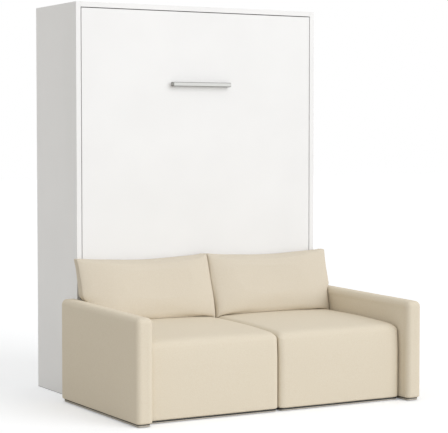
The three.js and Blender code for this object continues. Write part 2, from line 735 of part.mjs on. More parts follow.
const cushionLow = seatTop + softGap;
for (const [word, side] of sides) {
  const x = acrossOn(side, softGap, softGap + cushionWidth);
  const cushion = softBlock([cushionWidth, cushionBottomDepth, cushionHeight], cushionRounding, [10, 2, 6], cushionForm);
  cushion.translate((x[0] + x[1]) / 2, 0, cushionLow + cushionHeight / 2);
  addPiece(sofa, `cushion_${word}`, cushion, beigeFabric);
}

// The origin is the middle of the footprint, on the floor
wallBed.position.y = (armFront - cabinetDepth) / 2;

export default wallBed;
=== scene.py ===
# %% [markdown]
# This wall bed is a tall white cabinet whose door is the underside of a folding bed. A two-seat sofa in plain
# beige cloth stands in front of it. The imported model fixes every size, place and joint. This lesson dresses that
# model and moves nothing: it adds upholstery, seams, screws, finishes, light and a camera.

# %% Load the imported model
import math

import bpy
import numpy as np
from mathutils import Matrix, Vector, noise
from mathutils.kdtree import KDTree


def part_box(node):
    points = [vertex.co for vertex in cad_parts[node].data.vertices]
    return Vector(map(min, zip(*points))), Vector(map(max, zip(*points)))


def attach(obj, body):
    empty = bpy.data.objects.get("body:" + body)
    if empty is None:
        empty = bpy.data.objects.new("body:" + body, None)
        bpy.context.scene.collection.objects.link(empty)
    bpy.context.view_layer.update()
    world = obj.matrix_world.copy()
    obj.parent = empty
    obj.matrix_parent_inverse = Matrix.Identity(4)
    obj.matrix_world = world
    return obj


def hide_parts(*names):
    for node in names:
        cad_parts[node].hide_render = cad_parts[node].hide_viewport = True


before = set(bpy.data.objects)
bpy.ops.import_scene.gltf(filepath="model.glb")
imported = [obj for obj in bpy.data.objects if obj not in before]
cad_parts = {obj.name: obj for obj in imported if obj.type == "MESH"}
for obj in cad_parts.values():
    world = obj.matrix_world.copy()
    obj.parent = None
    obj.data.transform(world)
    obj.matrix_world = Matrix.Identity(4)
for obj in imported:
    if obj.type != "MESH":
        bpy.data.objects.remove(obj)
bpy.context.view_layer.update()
scene = bpy.context.scene
sides = (("left", -1), ("right", 1))

# %% [markdown]
# The picture is taken from the left of the sofa, at chest height, looking a little down. A long lens far away keeps
# the upright edges of the cabinet upright. A short lens close by would make the sofa look larger than the cabinet.

# %% Camera
camera_place = (-4.283, -7.644, 1.438)
camera_turn = 29.53
camera_dip = 2.93


def put_in_scene(name, data):
    thing = bpy.data.objects.new(name, data)
    scene.collection.objects.link(thing)
    return thing


def set_all(thing, **settings):
    for key, value in settings.items():
        setattr(thing, key, value)
    return thing


camera_data = set_all(bpy.data.cameras.new("camera"), lens=127.1, sensor_width=36)
camera = put_in_scene("camera", camera_data)
camera.location = camera_place
camera.rotation_euler = [math.radians(angle) for angle in (90 - camera_dip, 0, -camera_turn)]
scene.camera = camera
scene.view_settings.view_transform = "Standard"
print("lens in millimetres:", camera_data.lens)

# %% [markdown]
# Every finish here is a small graph of nodes, so a few helpers keep the graphs short. One adds a node and feeds its
# inputs, one turns a screen colour into Blender's linear values, and one starts a finish from the main shader.

# %% Helpers for node graphs
tone_positions = (0.3, 0.7)


def feed(node, inputs):
    """Joins each input of a node to its value where that is a socket, and sets it where it isn't."""
    for key, value in inputs.items():
        if isinstance(value, bpy.types.NodeSocket):
            node.id_data.links.new(value, node.inputs[key])
        else:
            node.inputs[key].default_value = value
    return node


def add_node(beside, kind, inputs=(), **settings):
    """Adds a node to a tree, or to the tree that a node or socket is in, and feeds its inputs."""
    return feed(set_all(beside.id_data.nodes.new(kind), **settings), dict(inputs))


def maths(operation, first, second=0):
    """The result of one sum, such as MULTIPLY or SINE."""
    return add_node(first, "ShaderNodeMath", {0: first, 1: second}, operation=operation).outputs[0]


def shares_of(first, share, second, other_share):
    """Two values added, each times its own share."""
    return maths("ADD", maths("MULTIPLY", first, share), maths("MULTIPLY", second, other_share))


def height_of(place):
    return add_node(place, "ShaderNodeSeparateXYZ", {0: place}).outputs["Z"]


def colour(code):
    """A colour as written on a screen, such as e0d6c3, in linear values by the standard curve, and opaque."""
    parts = [int(code[i:i + 2], 16) / 255 for i in (0, 2, 4)]
    return (*[part / 12.92 if part <= 0.04045 else ((part + 0.055) / 1.055) ** 2.4 for part in parts], 1)


def start_finish(name, code, **sockets):
    """A finish with its main shader set, and the coordinates of the piece that carries it."""
    finish = bpy.data.materials.new(name)
    finish.use_nodes = True
    finish.diffuse_color = colour(code)
    shader = finish.node_tree.nodes["Principled BSDF"]
    feed(shader, {"Base Color": colour(code), **{key.replace("_", " "): value for key, value in sockets.items()}})
    return finish, shader, add_node(shader, "ShaderNodeTexCoord").outputs["Object"]


def grain(place, per_metre, detail=2, stretch=(1, 1, 1)):
    """Noise with that many specks to the metre, stretched along an axis where its value is small."""
    mapping = add_node(place, "ShaderNodeMapping", {"Vector": place, "Scale": stretch})
    inputs = {"Vector": mapping.outputs[0], "Scale": per_metre, "Detail": detail}
    return add_node(place, "ShaderNodeTexNoise", inputs).outputs["Fac"]


def tone(shader, share, first, second):
    """Colours the shader between two tones, by a share that varies over the surface, and gives that colour."""
    ramp = add_node(share, "ShaderNodeValToRGB", {"Fac": share})
    for element, position, code in zip(ramp.color_ramp.elements, tone_positions, (first, second)):
        element.position = position
        element.color = colour(code)
    feed(shader, {"Base Color": ramp.outputs["Color"]})
    return ramp.outputs["Color"]


def two_tone(shader, share, first, second):
    """Colours the shader with the first colour where the share is 0 and the second where it is 1."""
    mix = add_node(share, "ShaderNodeMix", {0: share, 6: first, 7: second}, data_type="RGBA")
    feed(shader, {"Base Color": mix.outputs[2]})


def wear(shader, share, smooth, rough):
    """Lets the roughness vary between two values."""
    mapped = add_node(share, "ShaderNodeMapRange", {"Value": share, "To Min": smooth, "To Max": rough})
    feed(shader, {"Roughness": mapped.outputs["Result"]})


def relief(shader, height, strength, depth):
    """Lets small bumps of that depth in metres catch the light."""
    bump = add_node(height, "ShaderNodeBump", {"Height": height, "Strength": strength, "Distance": depth})
    feed(shader, {"Normal": bump.outputs["Normal"]})


print("helpers ready")

# %% [markdown]
# The room is a plain studio: soft warm light from all round, a little stronger overhead, and one very broad light
# in front, a little to the right. The world shows white to the camera and to mirrors only, so the background is
# white and adds no light. The floor glows a little for the same eyes, so it ends in that white and keeps its shadow.

# %% Light and floor
sky_strength = 0.55
zenith_gain = 0.26
sky_tone = (1, 0.985, 0.955, 1)
window_strength = 1.48
window_tone = (0.985, 1, 1.03)
window_softness = 50
window_direction = Vector((0.42, -0.85, 0.32))
floor_half = 40
floor_share = 0.9
floor_glow = 0.31
floor_glow_tone = (0.8, 0.845, 0.91, 1)
floor_tone = "dcdad6"


def start_graph(owner):
    owner.use_nodes = True
    owner.node_tree.nodes.clear()
    return owner.node_tree


def end_graph(tree, output, lighting, shown):
    """Ends a graph in a shader that only lights others, and one that the camera, mirrors and glass see."""
    path = add_node(tree, "ShaderNodeLightPath")
    either = maths("MAXIMUM", path.outputs["Is Camera Ray"], path.outputs["Is Glossy Ray"])
    seen = maths("MAXIMUM", either, path.outputs["Is Transmission Ray"])
    mix = add_node(tree, "ShaderNodeMixShader", {0: seen, 1: lighting.outputs[0], 2: shown.outputs[0]})
    add_node(tree, output, {"Surface": mix.outputs[0]})


def studio_world():
    world = bpy.data.worlds.new("studio")
    tree = start_graph(world)
    way = add_node(tree, "ShaderNodeTexCoord").outputs["Generated"]
    strength = maths("ADD", maths("MULTIPLY", height_of(way), zenith_gain), sky_strength)
    soft = add_node(tree, "ShaderNodeBackground", {"Color": sky_tone, "Strength": strength})
    white = add_node(tree, "ShaderNodeBackground", {"Color": (1, 1, 1, 1), "Strength": 1})
    end_graph(tree, "ShaderNodeOutputWorld", soft, white)
    return world


def studio_floor():
    finish = bpy.data.materials.new("studio_floor")
    tree = start_graph(finish)
    plain = add_node(tree, "ShaderNodeBsdfDiffuse", {"Color": colour(floor_tone)})
    shaded = add_node(tree, "ShaderNodeBsdfDiffuse", {"Color": (floor_share, floor_share, floor_share, 1)})
    glow = add_node(tree, "ShaderNodeEmission", {"Color": floor_glow_tone, "Strength": floor_glow})
    shown = add_node(tree, "ShaderNodeAddShader", {0: glow.outputs[0], 1: shaded.outputs[0]})
    end_graph(tree, "ShaderNodeOutputMaterial", plain, shown)
    mesh = bpy.data.meshes.new("studio_floor")
    corners = [(x * floor_half, y * floor_half, 0) for x, y in ((-1, -1), (1, -1), (1, 1), (-1, 1))]
    mesh.from_pydata(corners, [], [(0, 1, 2, 3)])
    mesh.materials.append(finish)
    put_in_scene("studio_floor", mesh)


scene.world = studio_world()
studio_floor()
window_data = bpy.data.lights.new("window", "SUN")
set_all(window_data, energy=window_strength, color=window_tone, angle=math.radians(window_softness))
window = set_all(put_in_scene("window", window_data), rotation_mode="QUATERNION")
window.rotation_quaternion = window_direction.to_track_quat("Z", "Y")
print("sky", sky_strength, "window", window_strength)

# %% [markdown]
# The cabinet is made of laminated board. Its surface is a satin white skin with a very fine pearl, so it is never a
# flat colour: the tone drifts a little over a metre, and the gloss breaks up over a millimetre. The boards that
# reach the floor end in a thin dark line of painted shade, which stands for the shadow where they meet the floor.

# %% Finish for the white board
painted_floor_shadow_height = 0.0025


def laminate_finish():
    finish, shader, place = start_finish(
        "white_laminate", "ededeb", Roughness=0.45, Coat_Weight=0.5, Coat_Roughness=0.3)
    pearl = grain(place, per_metre=700, detail=3)
    board = tone(shader, grain(place, per_metre=2.4), "e8e8e8", "ececec")
    # Painted shade: the lowest few millimetres of each board are dark, for the shadow where it meets the floor.
    two_tone(shader, maths("GREATER_THAN", height_of(place), painted_floor_shadow_height), colour("3a3836"), board)
    wear(shader, pearl, smooth=0.4, rough=0.52)
    relief(shader, pearl, strength=0.12, depth=0.0001)
    return finish


white_laminate = laminate_finish()
print("made", white_laminate.name)

# %% [markdown]
# Upholstery cloth is woven, with threads that go over and under each other. Three waves, one on each axis, multiply
# in pairs into a plain weave that needs no unwrapping and stays on the piece when it moves. Fine noise makes the
# threads uneven, and a little sheen stands for the fibres that catch light at a glancing angle. The loose cushions
# take a copy of the same cloth a shade deeper, which is painted shade for the leaning cushions between seats and arms.

# %% Finish for woven cloth
threads_wander = 1.5
wanders_per_metre = 60
slubs_per_thread = 0.22
weave_share, slub_share = 0.35, 0.6
thread_depth = 0.4


def woven_finish(name, code, first, second, thread, sheen):
    """Cloth whose threads are that far apart, in metres."""
    finish, shader, place = start_finish(
        name, code, Roughness=0.88, Sheen_Weight=sheen, Sheen_Roughness=0.45, Sheen_Tint=colour(code),
        Specular_IOR_Level=0.3)
    slub = grain(place, slubs_per_thread / thread, detail=3)
    wander = add_node(place, "ShaderNodeTexNoise", {"Vector": place, "Scale": wanders_per_metre}).outputs["Color"]
    inputs = {0: wander, 1: (thread * threads_wander,) * 3, 2: place}
    nudged = add_node(place, "ShaderNodeVectorMath", inputs, operation="MULTIPLY_ADD")
    parts = add_node(place, "ShaderNodeSeparateXYZ", {0: nudged.outputs[0]})
    waves = [maths("SINE", maths("MULTIPLY", part, math.pi / thread)) for part in parts.outputs]
    pairs = [maths("MULTIPLY", waves[i], waves[(i + 1) % 3]) for i in range(3)]
    weave = maths("ADD", maths("ADD", pairs[0], pairs[1]), pairs[2])
    tone(shader, slub, first, second)
    uneven = shares_of(weave, weave_share, slub, slub_share)
    relief(shader, uneven, strength=0.35, depth=thread * thread_depth)
    return finish


beige_cloth = woven_finish("beige_cloth", "e0d6c3", "ded3bf", "e2d9c7", thread=0.0011, sheen=0.2)
# Painted shade: the cushions' copy of the cloth is darker, for the shade the leaning cushions lie in.
cushion_cloth = woven_finish("cushion_cloth", "d8cfbe", "d6ccba", "dad1c1", thread=0.0011, sheen=0.2)
ticking = woven_finish("mattress_ticking", "edece7", "e8e6df", "f2f1ec", thread=0.0009, sheen=0.12)
ticking_tape = woven_finish("mattress_tape", "cfcbc2", "c8c4ba", "d6d2c9", thread=0.0014, sheen=0.1)
sewing_thread = woven_finish("sewing_thread", "d6cab4", "cfc2aa", "ddd1bc", thread=0.0006, sheen=0.1)
print("made", *[cloth.name for cloth in (beige_cloth, cushion_cloth, ticking, ticking_tape, sewing_thread)])

# %% [markdown]
# Slats are layers of beech, pressed and varnished. Their grain runs along each slat, so the noise is stretched on
# that axis: a coarse one for the bands of growth, and a fine one for the pores.

# %% Finish for the slats
def beech_finish():
    finish, shader, place = start_finish(
        "beech_slats", "d8bd92", Roughness=0.4, Coat_Weight=0.25, Coat_Roughness=0.2)
    bands = grain(place, per_metre=30, detail=3, stretch=(0.06, 1, 1))
    pores = grain(place, per_metre=420, stretch=(0.03, 1, 1))
    tone(shader, shares_of(bands, 0.7, pores, 0.3), "c9a876", "e2cba4")
    wear(shader, pores, smooth=0.35, rough=0.5)
    relief(shader, pores, strength=0.2, depth=0.0002)
    return finish


beech = beech_finish()
print("made", beech.name)

# %% [markdown]
# Steel parts are powder coated, which leaves a fine orange peel. The strut's rod is chromed. The handle is brushed
# aluminium with lines along its length. Its rounded top and bottom edges are painted a darker grey, which is painted
# shade: it stands for the dark that those edges turn into. The sleeves, pockets and sofa bases are moulded in black.

# %% Finishes for metal, plastic and rubber
coat_drifts_per_metre = 9
coat_smoother, coat_rougher = 0.06, 0.08
handle_shade_start, handle_shade_end = 0.0045, 0.0015


def coated_finish(name, code, first, second, roughness, peel):
    finish, shader, place = start_finish(name, code, Roughness=roughness)
    drops = grain(place, per_metre=peel)
    tone(shader, grain(place, coat_drifts_per_metre), first, second)
    wear(shader, drops, roughness - coat_smoother, roughness + coat_rougher)
    relief(shader, drops, strength=0.3, depth=0.0002)
    return finish


def chrome_finish():
    finish, shader, place = start_finish("chromed_rod", "d8d9db", Roughness=0.1, Metallic=1)
    rings = grain(place, per_metre=260, stretch=(1, 1, 0.4))
    tone(shader, rings, "d2d3d5", "dedfe1")
    wear(shader, rings, smooth=0.06, rough=0.16)
    return finish


def brushed_finish():
    finish, shader, place = start_finish("brushed_aluminium", "bababb", Roughness=0.5, Metallic=0.7)
    lines = grain(place, per_metre=900, stretch=(0.012, 1, 1))
    face = tone(shader, lines, "adadaa", "b9b9b6")
    # Painted shade: the rounded top and bottom edges of the bar are coloured a darker grey, for the shade they turn
    # into.
    low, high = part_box("handle")
    half = (high.z - low.z) / 2
    off_middle = maths("ABSOLUTE", maths("SUBTRACT", height_of(place), (low.z + high.z) / 2))
    inputs = {"Value": off_middle, "From Min": half - handle_shade_start, "From Max": half - handle_shade_end}
    rim = add_node(place, "ShaderNodeMapRange", inputs).outputs["Result"]
    two_tone(shader, rim, face, colour("777773"))
    wear(shader, lines, smooth=0.44, rough=0.58)
    relief(shader, lines, strength=0.25, depth=0.0001)
    return finish


grey_steel = coated_finish("grey_steel", "8f9092", "8a8b8d", "949597", roughness=0.45, peel=800)
strut_black = coated_finish("strut_black", "2b2c2e", "27282a", "303133", roughness=0.35, peel=900)
zinc_screw = coated_finish("zinc_screw", "a9aaac", "a2a3a5", "b0b1b3", roughness=0.3, peel=1200)
chromed_rod = chrome_finish()
brushed_aluminium = brushed_finish()
black_plastic = coated_finish("black_plastic", "2a2928", "262524", "2f2e2c", roughness=0.6, peel=1500)
black_rubber = coated_finish("black_rubber", "232322", "1f1f1e", "282827", roughness=0.8, peel=1100)
print("made", grey_steel.name, strut_black.name, chromed_rod.name, brushed_aluminium.name)

# %% [markdown]
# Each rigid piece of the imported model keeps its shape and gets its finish. Real boards and steel plates have no
# knife edges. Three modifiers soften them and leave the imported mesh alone: Weld joins its loose triangles, Decimate
# makes each flat face one face again, and Bevel rounds the edges by a fraction of a millimetre.

# %% Finish and edges of the rigid pieces
edges_and_names = {
    white_laminate: (0.0008, ("side_panel", "top_panel", "plinth_panel", "floor_panel", "back_", "door_panel")),
    grey_steel: (0.0005, ("wall_bracket", "pivot_plate", "strut_bracket", "bed_", "arch_p", "arch_l", "arch_t")),
    beech: (0.001, ("slat_0", "slat_1")),
    black_plastic: (0.0006, ("slat_strip", "pivot_bush", "arm_base", "seat_base")),
    black_rubber: (0, "arch_foot"),
    strut_black: (0, "strut_barrel"),
    chromed_rod: (0, "strut_rod"),
    brushed_aluminium: (0, "handle"),
}


def soften_edges(piece, radius):
    set_all(piece.modifiers.new("Join triangles", "WELD"), merge_threshold=0.00001)
    set_all(piece.modifiers.new("One face each", "DECIMATE"), decimate_type="DISSOLVE", angle_limit=math.radians(0.5))
    set_all(piece.modifiers.new("Soft edges", "BEVEL"), width=radius, segments=2, limit_method="ANGLE",
            angle_limit=math.radians(40), harden_normals=True)


def finish_rigid_pieces():
    """Gives each piece the finish that its name calls for, and rounds its edges where a radius is given."""
    done = 0
    for finish, (radius, names) in edges_and_names.items():
        for name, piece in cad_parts.items():
            if name.startswith(names):
                piece.data.materials.clear()
                piece.data.materials.append(finish)
                if radius:
                    soften_edges(piece, radius)
                done += 1
    return done


print("rigid pieces finished:", finish_rigid_pieces(), "of", len(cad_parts))

# %% [markdown]
# Upholstery is foam with cloth pulled over it. It could be sculpted, but a rule is easier to keep in step with the
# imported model: rows of vertices lie on a box, closer together at its edges, and each vertex is pushed out from a
# smaller core, which rounds the edges. Each side has its own rounding, because the cloth is tighter underneath.

# %% Rounded blocks of foam
corner_rows = 5


def rows_along(low, high, near_low, near_high, step):
    """Where the rows of vertices lie between two faces."""
    bends = np.tan(np.linspace(0, math.pi / 4, corner_rows + 1)[1:])
    flat_low, flat_high = low + near_low, high - near_high
    inner = np.linspace(flat_low, flat_high, max(2, math.ceil((flat_high - flat_low) / step)) + 1)
    return np.concatenate([flat_low - near_low * bends[::-1], inner, flat_high + near_high * bends])


def box_surface(counts):
    """The cells of a lattice that lie on its outside, the faces between them, and each cell's number."""
    numbers, faces = {}, []
    for axis in range(3):
        u, v = (axis + 1) % 3, (axis + 2) % 3
        for level in (0, counts[axis] - 1):
            for i in range(counts[u] - 1):
                for j in range(counts[v] - 1):
                    ring = []
                    for a, b in ((i, j), (i + 1, j), (i + 1, j + 1), (i, j + 1)):
                        cell = [level] * 3
                        cell[u], cell[v] = a, b
                        ring.append(numbers.setdefault(tuple(cell), len(numbers)))
                    faces.append(ring if level else ring[::-1])
    return np.array(list(numbers)), faces, numbers


def foam_block(name, low, high, x, y, under, top, step, form, finish):
    """A closed block between two corners, with its roundings in x, in y, underneath and at the top. The form is a
    function that changes the x, y and z of its points."""
    low, high, near_low, near_high = map(np.array, (low, high, (x, y, under), (x, y, top)))
    rows = [rows_along(low[k], high[k], near_low[k], near_high[k], step) for k in range(3)]
    cells, faces, numbers = box_surface([len(row) for row in rows])
    points = np.stack([rows[k][cells[:, k]] for k in range(3)], axis=1)
    core = np.clip(points, low + near_low, high - near_high)
    reach = np.where(points < core, near_low, near_high)
    away = (points - core) / reach
    points = core + away / np.linalg.norm(away, axis=1, keepdims=True) * reach
    form(*points.T)
    mesh = bpy.data.meshes.new(name)
    mesh.from_pydata(points.tolist(), [], faces)
    mesh.shade_smooth()
    mesh.materials.append(finish)
    return {"piece": put_in_scene(name, mesh), "rows": rows, "numbers": numbers}


def vectors_of(rows, label):
    flat = np.empty(len(rows) * 3)
    rows.foreach_get(label, flat)
    return flat.reshape(-1, 3)


def points_of(piece):
    return vectors_of(piece.data.vertices, "co")


def normals_of(piece):
    return vectors_of(piece.data.vertex_normals, "vector")


def place_points(piece, points):
    piece.data.vertices.foreach_set("co", points.ravel())
    piece.data.update()


print("rows at each rounded edge:", corner_rows)

# %% [markdown]
# Stuffed cloth swells until its seams stop it. The Cloth simulation does that with air pressure and no gravity. The
# seam is held still, because the real one is stiff with folded cloth. Firm fibre under the cloth leaves no wrinkles,
# so each point's move is averaged with its neighbours' moves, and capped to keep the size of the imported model. A slow
# wave of a millimetre then makes the surface uneven, as cloth pulled by hand is.

# %% Stuffing and unevenness
stuffing_frames = 20
smoothing_rounds = 30
seed_steps = (7.3, 3.1, 5.7)


def averaged(piece, moved, held):
    """How far each point moves once its neighbours have shared their moves with it. Held points stay still."""
    ends = np.empty(len(piece.data.edges) * 2, int)
    piece.data.edges.foreach_get("vertices", ends)
    one, other = np.concatenate([ends[::2], ends[1::2]]), np.concatenate([ends[1::2], ends[::2]])
    near = np.bincount(one, minlength=len(moved))[:, None]
    for _ in range(smoothing_rounds):
        sums = [np.bincount(one, moved[other, k], len(moved)) for k in range(3)]
        moved = (moved + np.stack(sums, axis=1) / near) / 2
        moved[held] = 0
    return moved


def stuff(piece, seam, pressure, cap):
    """Swells a closed piece by air pressure inside its held seam, and lets no point move further than the cap."""
    before = points_of(piece)
    held = piece.vertex_groups.new(name="Seam")
    held.add(seam, 1, "REPLACE")
    cloth = piece.modifiers.new("Stuffing", "CLOTH")
    set_all(cloth.settings, vertex_group_mass=held.name, compression_stiffness=5, bending_stiffness=6,
            use_pressure=True, uniform_pressure_force=pressure, quality=5)
    cloth.settings.effector_weights.gravity = 0
    set_all(cloth.point_cache, frame_start=1, frame_end=stuffing_frames)
    for number in range(1, stuffing_frames + 1):
        scene.frame_set(number)
    swollen = piece.evaluated_get(bpy.context.evaluated_depsgraph_get())
    moved = averaged(piece, points_of(swollen) - before, seam)
    piece.modifiers.remove(cloth)
    piece.vertex_groups.remove(held)
    scene.frame_set(1)
    length = np.linalg.norm(moved, axis=1, keepdims=True)
    place_points(piece, before + moved * np.minimum(1, cap / np.maximum(length, 1e-9)))
    return float(length.max())


def make_uneven(piece, height, wave, seed):
    """Moves the surface in and out by up to that height, in waves of that length."""
    points, normals = points_of(piece), normals_of(piece)
    shift = Vector([seed * step for step in seed_steps])
    rise = np.array([noise.noise(Vector(point) / wave + shift) for point in points])
    place_points(piece, points + normals * (rise * height)[:, None])


print("stuffing frames:", stuffing_frames)

# %% [markdown]
# A seam is where two panels of cloth meet: the surface dips into a narrow valley there. The rows of vertices let a
# seam be named by its cells, so a path of cells gives its points, and every vertex near the path is drawn in.

# %% Seams
def path_of(block, cells):
    """The places of these cells of a block, on its finished surface."""
    points = points_of(block["piece"])
    return [Vector(points[block["numbers"][cell]]) for cell in cells]


def ring_of(block, layer):
    """The cells once round the rim of a block, at one layer of its thickness."""
    columns, _, levels = [len(rows) for rows in block["rows"]]
    ring = [(0, k) for k in range(levels)] + [(i, levels - 1) for i in range(1, columns)]
    ring += [(columns - 1, k) for k in range(levels - 2, -1, -1)] + [(i, 0) for i in range(columns - 2, 0, -1)]
    return [(i, layer, k) for i, k in ring]


def draw_in(block, path, depth, width):
    """Presses a valley of that depth and half width along a path."""
    piece = block["piece"]
    near = KDTree(len(path))
    for number, point in enumerate(path):
        near.insert(point, number)
    near.balance()
    points, normals = points_of(piece), normals_of(piece)
    gaps = np.array([near.find(point)[2] for point in points])
    place_points(piece, points - normals * (depth * np.exp(-(gaps / width) ** 2))[:, None])


def evenly(path, step):
    """The path again, with points that are all about one step apart."""
    places = np.array(path)
    run = np.concatenate([[0], np.cumsum(np.linalg.norm(np.diff(places, axis=0), axis=1))])
    wanted = np.linspace(0, run[-1], max(2, round(run[-1] / step)) + 1)
    return [Vector(row) for row in np.stack([np.interp(wanted, run, places[:, k]) for k in range(3)], axis=1)]


print("seam helpers ready")

# %% [markdown]
# Screws, stitches and welts repeat along a line or over a plate, which is work for Geometry Nodes. Each graph takes
# points or a path, puts a small shape there, makes the copies real and paints them. The result becomes a plain mesh,
# one for each body of the model, and the object with the graph is thrown away.

# %% Helpers for Geometry Nodes
welt_corners = 8
head_corners = 20
head_shoulder, head_socket, socket_floor = 0.72, 0.42, 0.9


def start_tree(name, inputs):
    tree = bpy.data.node_groups.new(name, "GeometryNodeTree")
    for label, kind in (("Guide", "Geometry"), *[(label, "Float") for label in inputs], ("Finish", "Material")):
        tree.interface.new_socket(label, in_out="INPUT", socket_type="NodeSocket" + kind)
    tree.interface.new_socket("Piece", in_out="OUTPUT", socket_type="NodeSocketGeometry")
    return tree, add_node(tree, "NodeGroupInput").outputs


def end_tree(tree, geometry, finish):
    real = add_node(tree, "GeometryNodeRealizeInstances", {0: geometry})
    painted = add_node(tree, "GeometryNodeSetMaterial", {"Geometry": real.outputs[0], "Material": finish})
    add_node(tree, "NodeGroupOutput", {0: painted.outputs[0]})
    return tree


def even_curve(guide, spacing):
    curve = add_node(guide, "GeometryNodeMeshToCurve", {"Mesh": guide})
    inputs = {"Curve": curve.outputs[0], "Length": spacing}
    return add_node(guide, "GeometryNodeResampleCurve", inputs, mode="LENGTH").outputs[0]


def put_on_points(points, shape, direction, axis):
    """A copy of a shape on every point, with one of its axes turned to a direction."""
    turn = add_node(points, "FunctionNodeAlignRotationToVector", {"Vector": direction}, axis=axis)
    inputs = {"Points": points, "Instance": shape, "Rotation": turn.outputs[0]}
    return add_node(points, "GeometryNodeInstanceOnPoints", inputs).outputs[0]


def welt_tree():
    """A round cord of cloth along each line of the guide."""
    tree, given = start_tree("welt", ("Radius", "Spacing"))
    curve = even_curve(given["Guide"], given["Spacing"])
    ring = add_node(tree, "GeometryNodeCurvePrimitiveCircle", {"Resolution": welt_corners, "Radius": given["Radius"]})
    inputs = {"Curve": curve, "Profile Curve": ring.outputs[0], "Fill Caps": True}
    tube = add_node(tree, "GeometryNodeCurveToMesh", inputs)
    smooth = add_node(tree, "GeometryNodeSetShadeSmooth", {0: tube.outputs[0]})
    return end_tree(tree, smooth.outputs[0], given["Finish"])


def stitch_tree():
    """Short stitches along each line of the guide, one every pitch."""
    tree, given = start_tree("stitches", ("Pitch", "Length", "Thickness"))
    curve = even_curve(given["Guide"], given["Pitch"])
    bead = add_node(tree, "GeometryNodeMeshUVSphere", {"Segments": 6, "Rings": 4, "Radius": 0.5})
    size = add_node(tree, "ShaderNodeCombineXYZ", {0: given["Length"], 1: given["Thickness"], 2: given["Thickness"]})
    stitch = add_node(tree, "GeometryNodeTransform", {"Geometry": bead.outputs[0], "Scale": size.outputs[0]})
    along = add_node(tree, "GeometryNodeInputTangent").outputs[0]
    return end_tree(tree, put_on_points(curve, stitch.outputs[0], along, "X"), given["Finish"])


def screw_tree():
    """A low screw head with a six-sided socket on each point, turned to face the way its attribute says."""
    tree, given = start_tree("screws", ("Radius", "Height"))
    radius, height = given["Radius"], given["Height"]
    shoulder = maths("MULTIPLY", radius, head_shoulder)
    inputs = {"Vertices": head_corners, "Radius Top": shoulder, "Radius Bottom": radius, "Depth": height}
    head = add_node(tree, "GeometryNodeMeshCone", inputs)
    inputs = {"Vertices": 6, "Radius": maths("MULTIPLY", radius, head_socket), "Depth": height}
    socket = add_node(tree, "GeometryNodeMeshCylinder", inputs)
    lift = add_node(tree, "ShaderNodeCombineXYZ", {2: maths("MULTIPLY", height, socket_floor)})
    raised = add_node(tree, "GeometryNodeTransform", {"Geometry": socket.outputs[0], "Translation": lift.outputs[0]})
    inputs = {"Mesh 1": head.outputs[0], "Mesh 2": raised.outputs[0]}
    cut = add_node(tree, "GeometryNodeMeshBoolean", inputs, operation="DIFFERENCE")
    facing = add_node(tree, "GeometryNodeInputNamedAttribute", {"Name": "facing"}, data_type="FLOAT_VECTOR")
    row = put_on_points(given["Guide"], cut.outputs[0], facing.outputs[0], "Z")
    return end_tree(tree, row, given["Finish"])


def joined_lines(paths, closed=False):
    """The points of all the paths, and the edges along each."""
    points, edges = [], []
    for path in paths:
        first = len(points)
        points += [tuple(point) for point in path]
        edges += [(n, n + 1) for n in range(first, len(points) - 1)]
        if closed:
            edges.append((len(points) - 1, first))
    return points, edges


def grow(name, tree, values, points, edges, body, slot, facing=None):
    """Runs a graph on a guide of points and edges, and keeps the result as a plain piece on a body."""
    guide = bpy.data.meshes.new(name + "_guide")
    guide.from_pydata(points, edges, [])
    if facing:
        attribute = guide.attributes.new("facing", "FLOAT_VECTOR", "POINT")
        attribute.data.foreach_set("vector", [part for way in facing for part in way])
    holder = put_in_scene(name + "_guide", guide)
    modifier = holder.modifiers.new("Grow", "NODES")
    modifier.node_group = tree
    for socket in tree.interface.items_tree:
        if socket.in_out == "INPUT" and socket.name in values:
            modifier[socket.identifier] = values[socket.name]
    graph = bpy.context.evaluated_depsgraph_get()
    mesh = bpy.data.meshes.new_from_object(holder.evaluated_get(graph), depsgraph=graph)
    bpy.data.objects.remove(holder)
    piece = put_in_scene(name, mesh)
    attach(piece, body)
    print(name, "has", len(mesh.polygons), "faces")


welts, stitches, screws = welt_tree(), stitch_tree(), screw_tree()

# %% [markdown]
# An upholsterer closes each block of the sofa with seams where they show least: on the inner side of an arm, and on
# both sides of a seat, just past the rounded edge. A line of stitches beside the seam holds the folded cloth flat.
# Both follow the block's own rows of vertices, so they stay on the surface.

# %% Sewing
seam_depth = 0.0016
seam_width = 0.004
seam_ends = 2
stitch_shift = Vector((0, -0.0035, 0.0035))
stitch_sizes = {"Pitch": 0.0062, "Length": 0.0042, "Thickness": 0.0009, "Finish": sewing_thread}


def beside(block, path):
    """A path moved away from the edge, and laid back on the surface of its block."""
    moved = []
    for point in path:
        _, place, normal, _ = block["piece"].closest_point_on_mesh(point + stitch_shift)
        moved.append(place + normal * stitch_sizes["Thickness"] / 4)
    return evenly(moved, stitch_sizes["Pitch"] / 3)


def side_seam(block, level):
    """The seam on one side of a block, from the bottom up behind its front edge and back under its top edge."""
    _, y_rows, z_rows = block["rows"]
    front = corner_rows + 1
    top = len(z_rows) - corner_rows - 2
    cells = [(level, front, k) for k in range(seam_ends, top)]
    cells += [(level, j, top) for j in range(front, len(y_rows) - seam_ends)]
    return path_of(block, cells)


def dress(block, node, body):
    """Lets an upholstered piece stand for its node and ride on its body."""
    piece = block["piece"]
    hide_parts(node)
    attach(piece, body)
    print(piece.name, "has", len(piece.data.polygons), "faces")


def sew(block, levels, node):
    """Sinks the seams on some sides of a block, dresses its node, and gives the line of stitches beside each seam."""
    seams = [side_seam(block, level) for level in levels]
    for seam in seams:
        draw_in(block, seam, seam_depth, seam_width)
    dress(block, node, "root")
    return [beside(block, seam) for seam in seams]


